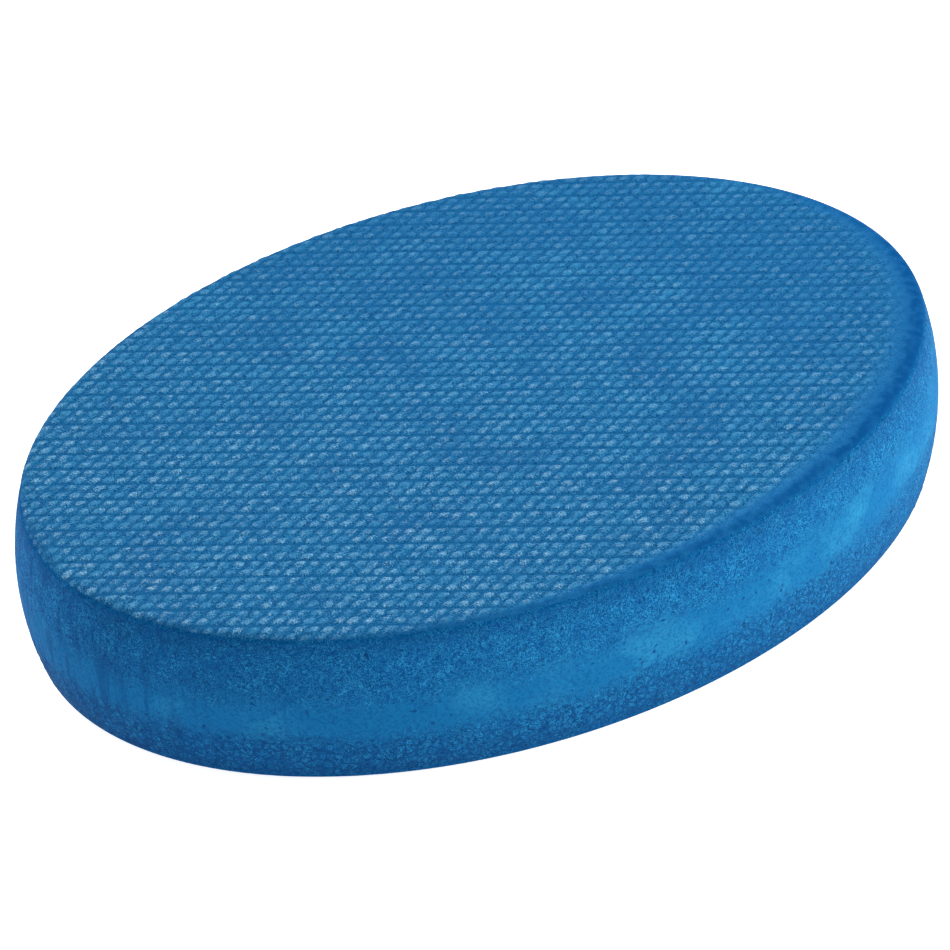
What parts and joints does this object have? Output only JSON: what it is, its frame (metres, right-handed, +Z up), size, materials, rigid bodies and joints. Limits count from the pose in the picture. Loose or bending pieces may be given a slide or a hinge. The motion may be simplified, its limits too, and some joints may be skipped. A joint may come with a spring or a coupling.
{
  "type": "balance pad",
  "caption": "Elliptical closed-cell foam balance pad with embossed faces and a bulged side, for standing and ankle exercises.",
  "frame": {"origin": "centre of the face that the pad lies on", "axes": "+X along the pad's length, +Y across it, +Z up out of its upper face"},
  "size_m": [0.34, 0.24, 0.06],
  "materials": {
    "cover_sheet": "embossed closed-cell foam skin, satin",
    "slab_foam": "cut closed-cell foam, matt and finely pitted",
    "core_foam": "cut closed-cell foam, matt and smooth",
    "adhesive": "clear flexible film, dull"
  },
  "bodies": {
    "base": {"bottom_cover": "cover_sheet", "bottom_cover_adhesive": "adhesive", "lower_slab": "slab_foam", "lower_slab_adhesive": "adhesive", "core_slab": "core_foam"},
    "top": {"upper_slab_adhesive": "adhesive", "upper_slab": "slab_foam", "top_cover_adhesive": "adhesive", "top_cover": "cover_sheet"}
  },
  "joints": [
    {"name": "foam_compression", "type": "slide", "parent": "base", "child": "top", "axis": [0, 0, -1], "range_m": [0, 0.015], "stiffness_N_per_m": 50000, "deforming": ["core_slab"]}
  ]
}
